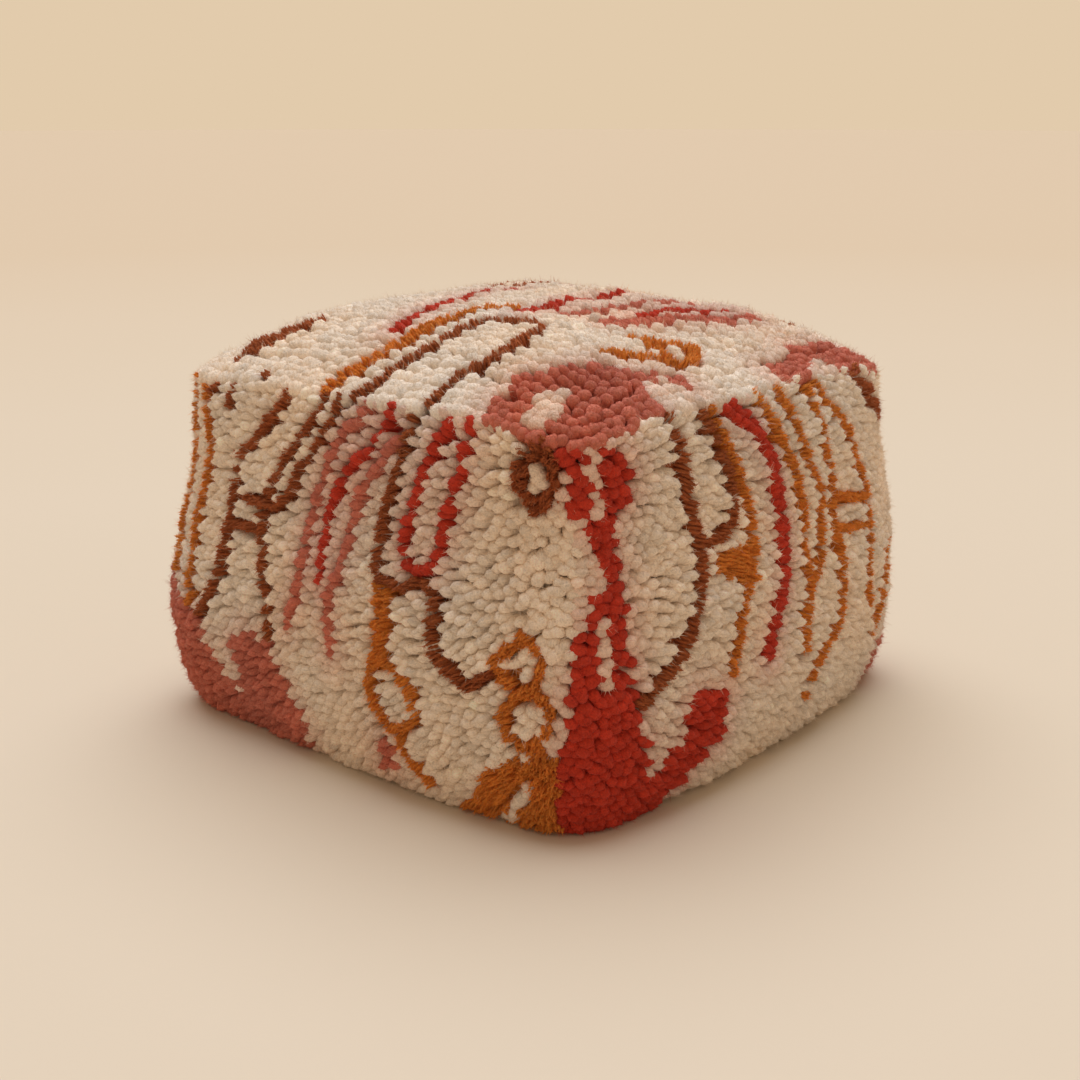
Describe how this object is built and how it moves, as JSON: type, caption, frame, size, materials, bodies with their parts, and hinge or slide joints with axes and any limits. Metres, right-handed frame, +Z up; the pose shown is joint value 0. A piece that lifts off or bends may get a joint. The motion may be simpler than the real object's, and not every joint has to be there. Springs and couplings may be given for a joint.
{
  "type": "shag pouf",
  "caption": "Square stuffed floor pouf with a crowned top and bulging sides of knotted wool shag, sewn over a zipped canvas base.",
  "frame": {"origin": "middle of the base, on the floor", "axes": "+Z up; -Y is the front; the zip runs along X and closes towards +X"},
  "size_m": [0.5984, 0.6184, 0.4139],
  "materials": {
    "wool_shag": "cut wool pile, matt, ivory with dyed yarns",
    "waxed_thread": "waxed linen thread",
    "cotton_canvas": "plain woven, unbleached",
    "zip_tape": "twill woven",
    "zip_brass": "aged, satin",
    "calico": "plain woven, unbleached",
    "stuffing": "loose fibre"
  },
  "bodies": {
    "pouf": {"top_panel": "wool_shag", "front_panel": "wool_shag", "right_panel": "wool_shag", "back_panel": "wool_shag", "left_panel": "wool_shag", "top_seam_thread": "waxed_thread", "base_seam_thread": "waxed_thread", "front_left_seam_thread": "waxed_thread", "front_right_seam_thread": "waxed_thread", "rear_left_seam_thread": "waxed_thread", "rear_right_seam_thread": "waxed_thread", "base_panel_front": "cotton_canvas", "base_panel_rear": "cotton_canvas", "zip_facing_front": "cotton_canvas", "zip_facing_rear": "cotton_canvas", "zip_tape_front": "zip_tape", "zip_tape_rear": "zip_tape", "zip_teeth_front": "zip_brass", "zip_teeth_rear": "zip_brass", "zip_bottom_stop": "zip_brass", "zip_top_stops": "zip_brass", "zip_stitching_front": "waxed_thread", "zip_stitching_rear": "waxed_thread", "liner_top": "calico", "liner_wall": "calico", "liner_base": "calico", "filling": "stuffing"},
    "slider": {"zip_slider": "zip_brass", "zip_pull_pin": "zip_brass"},
    "pull_tab": {"zip_pull_tab": "zip_brass"}
  },
  "joints": [
    {"name": "zip_slide", "type": "slide", "parent": "pouf", "child": "slider", "axis": [-1, 0, 0], "range_m": [0, 0.37], "deforming": ["zip_teeth_front", "zip_teeth_rear"]},
    {"name": "tab_hinge", "type": "hinge", "parent": "slider", "child": "pull_tab", "pos_m": [0.186, 0, 0.0069], "axis": [0, -1, 0], "range_deg": [0, 165]}
  ]
}
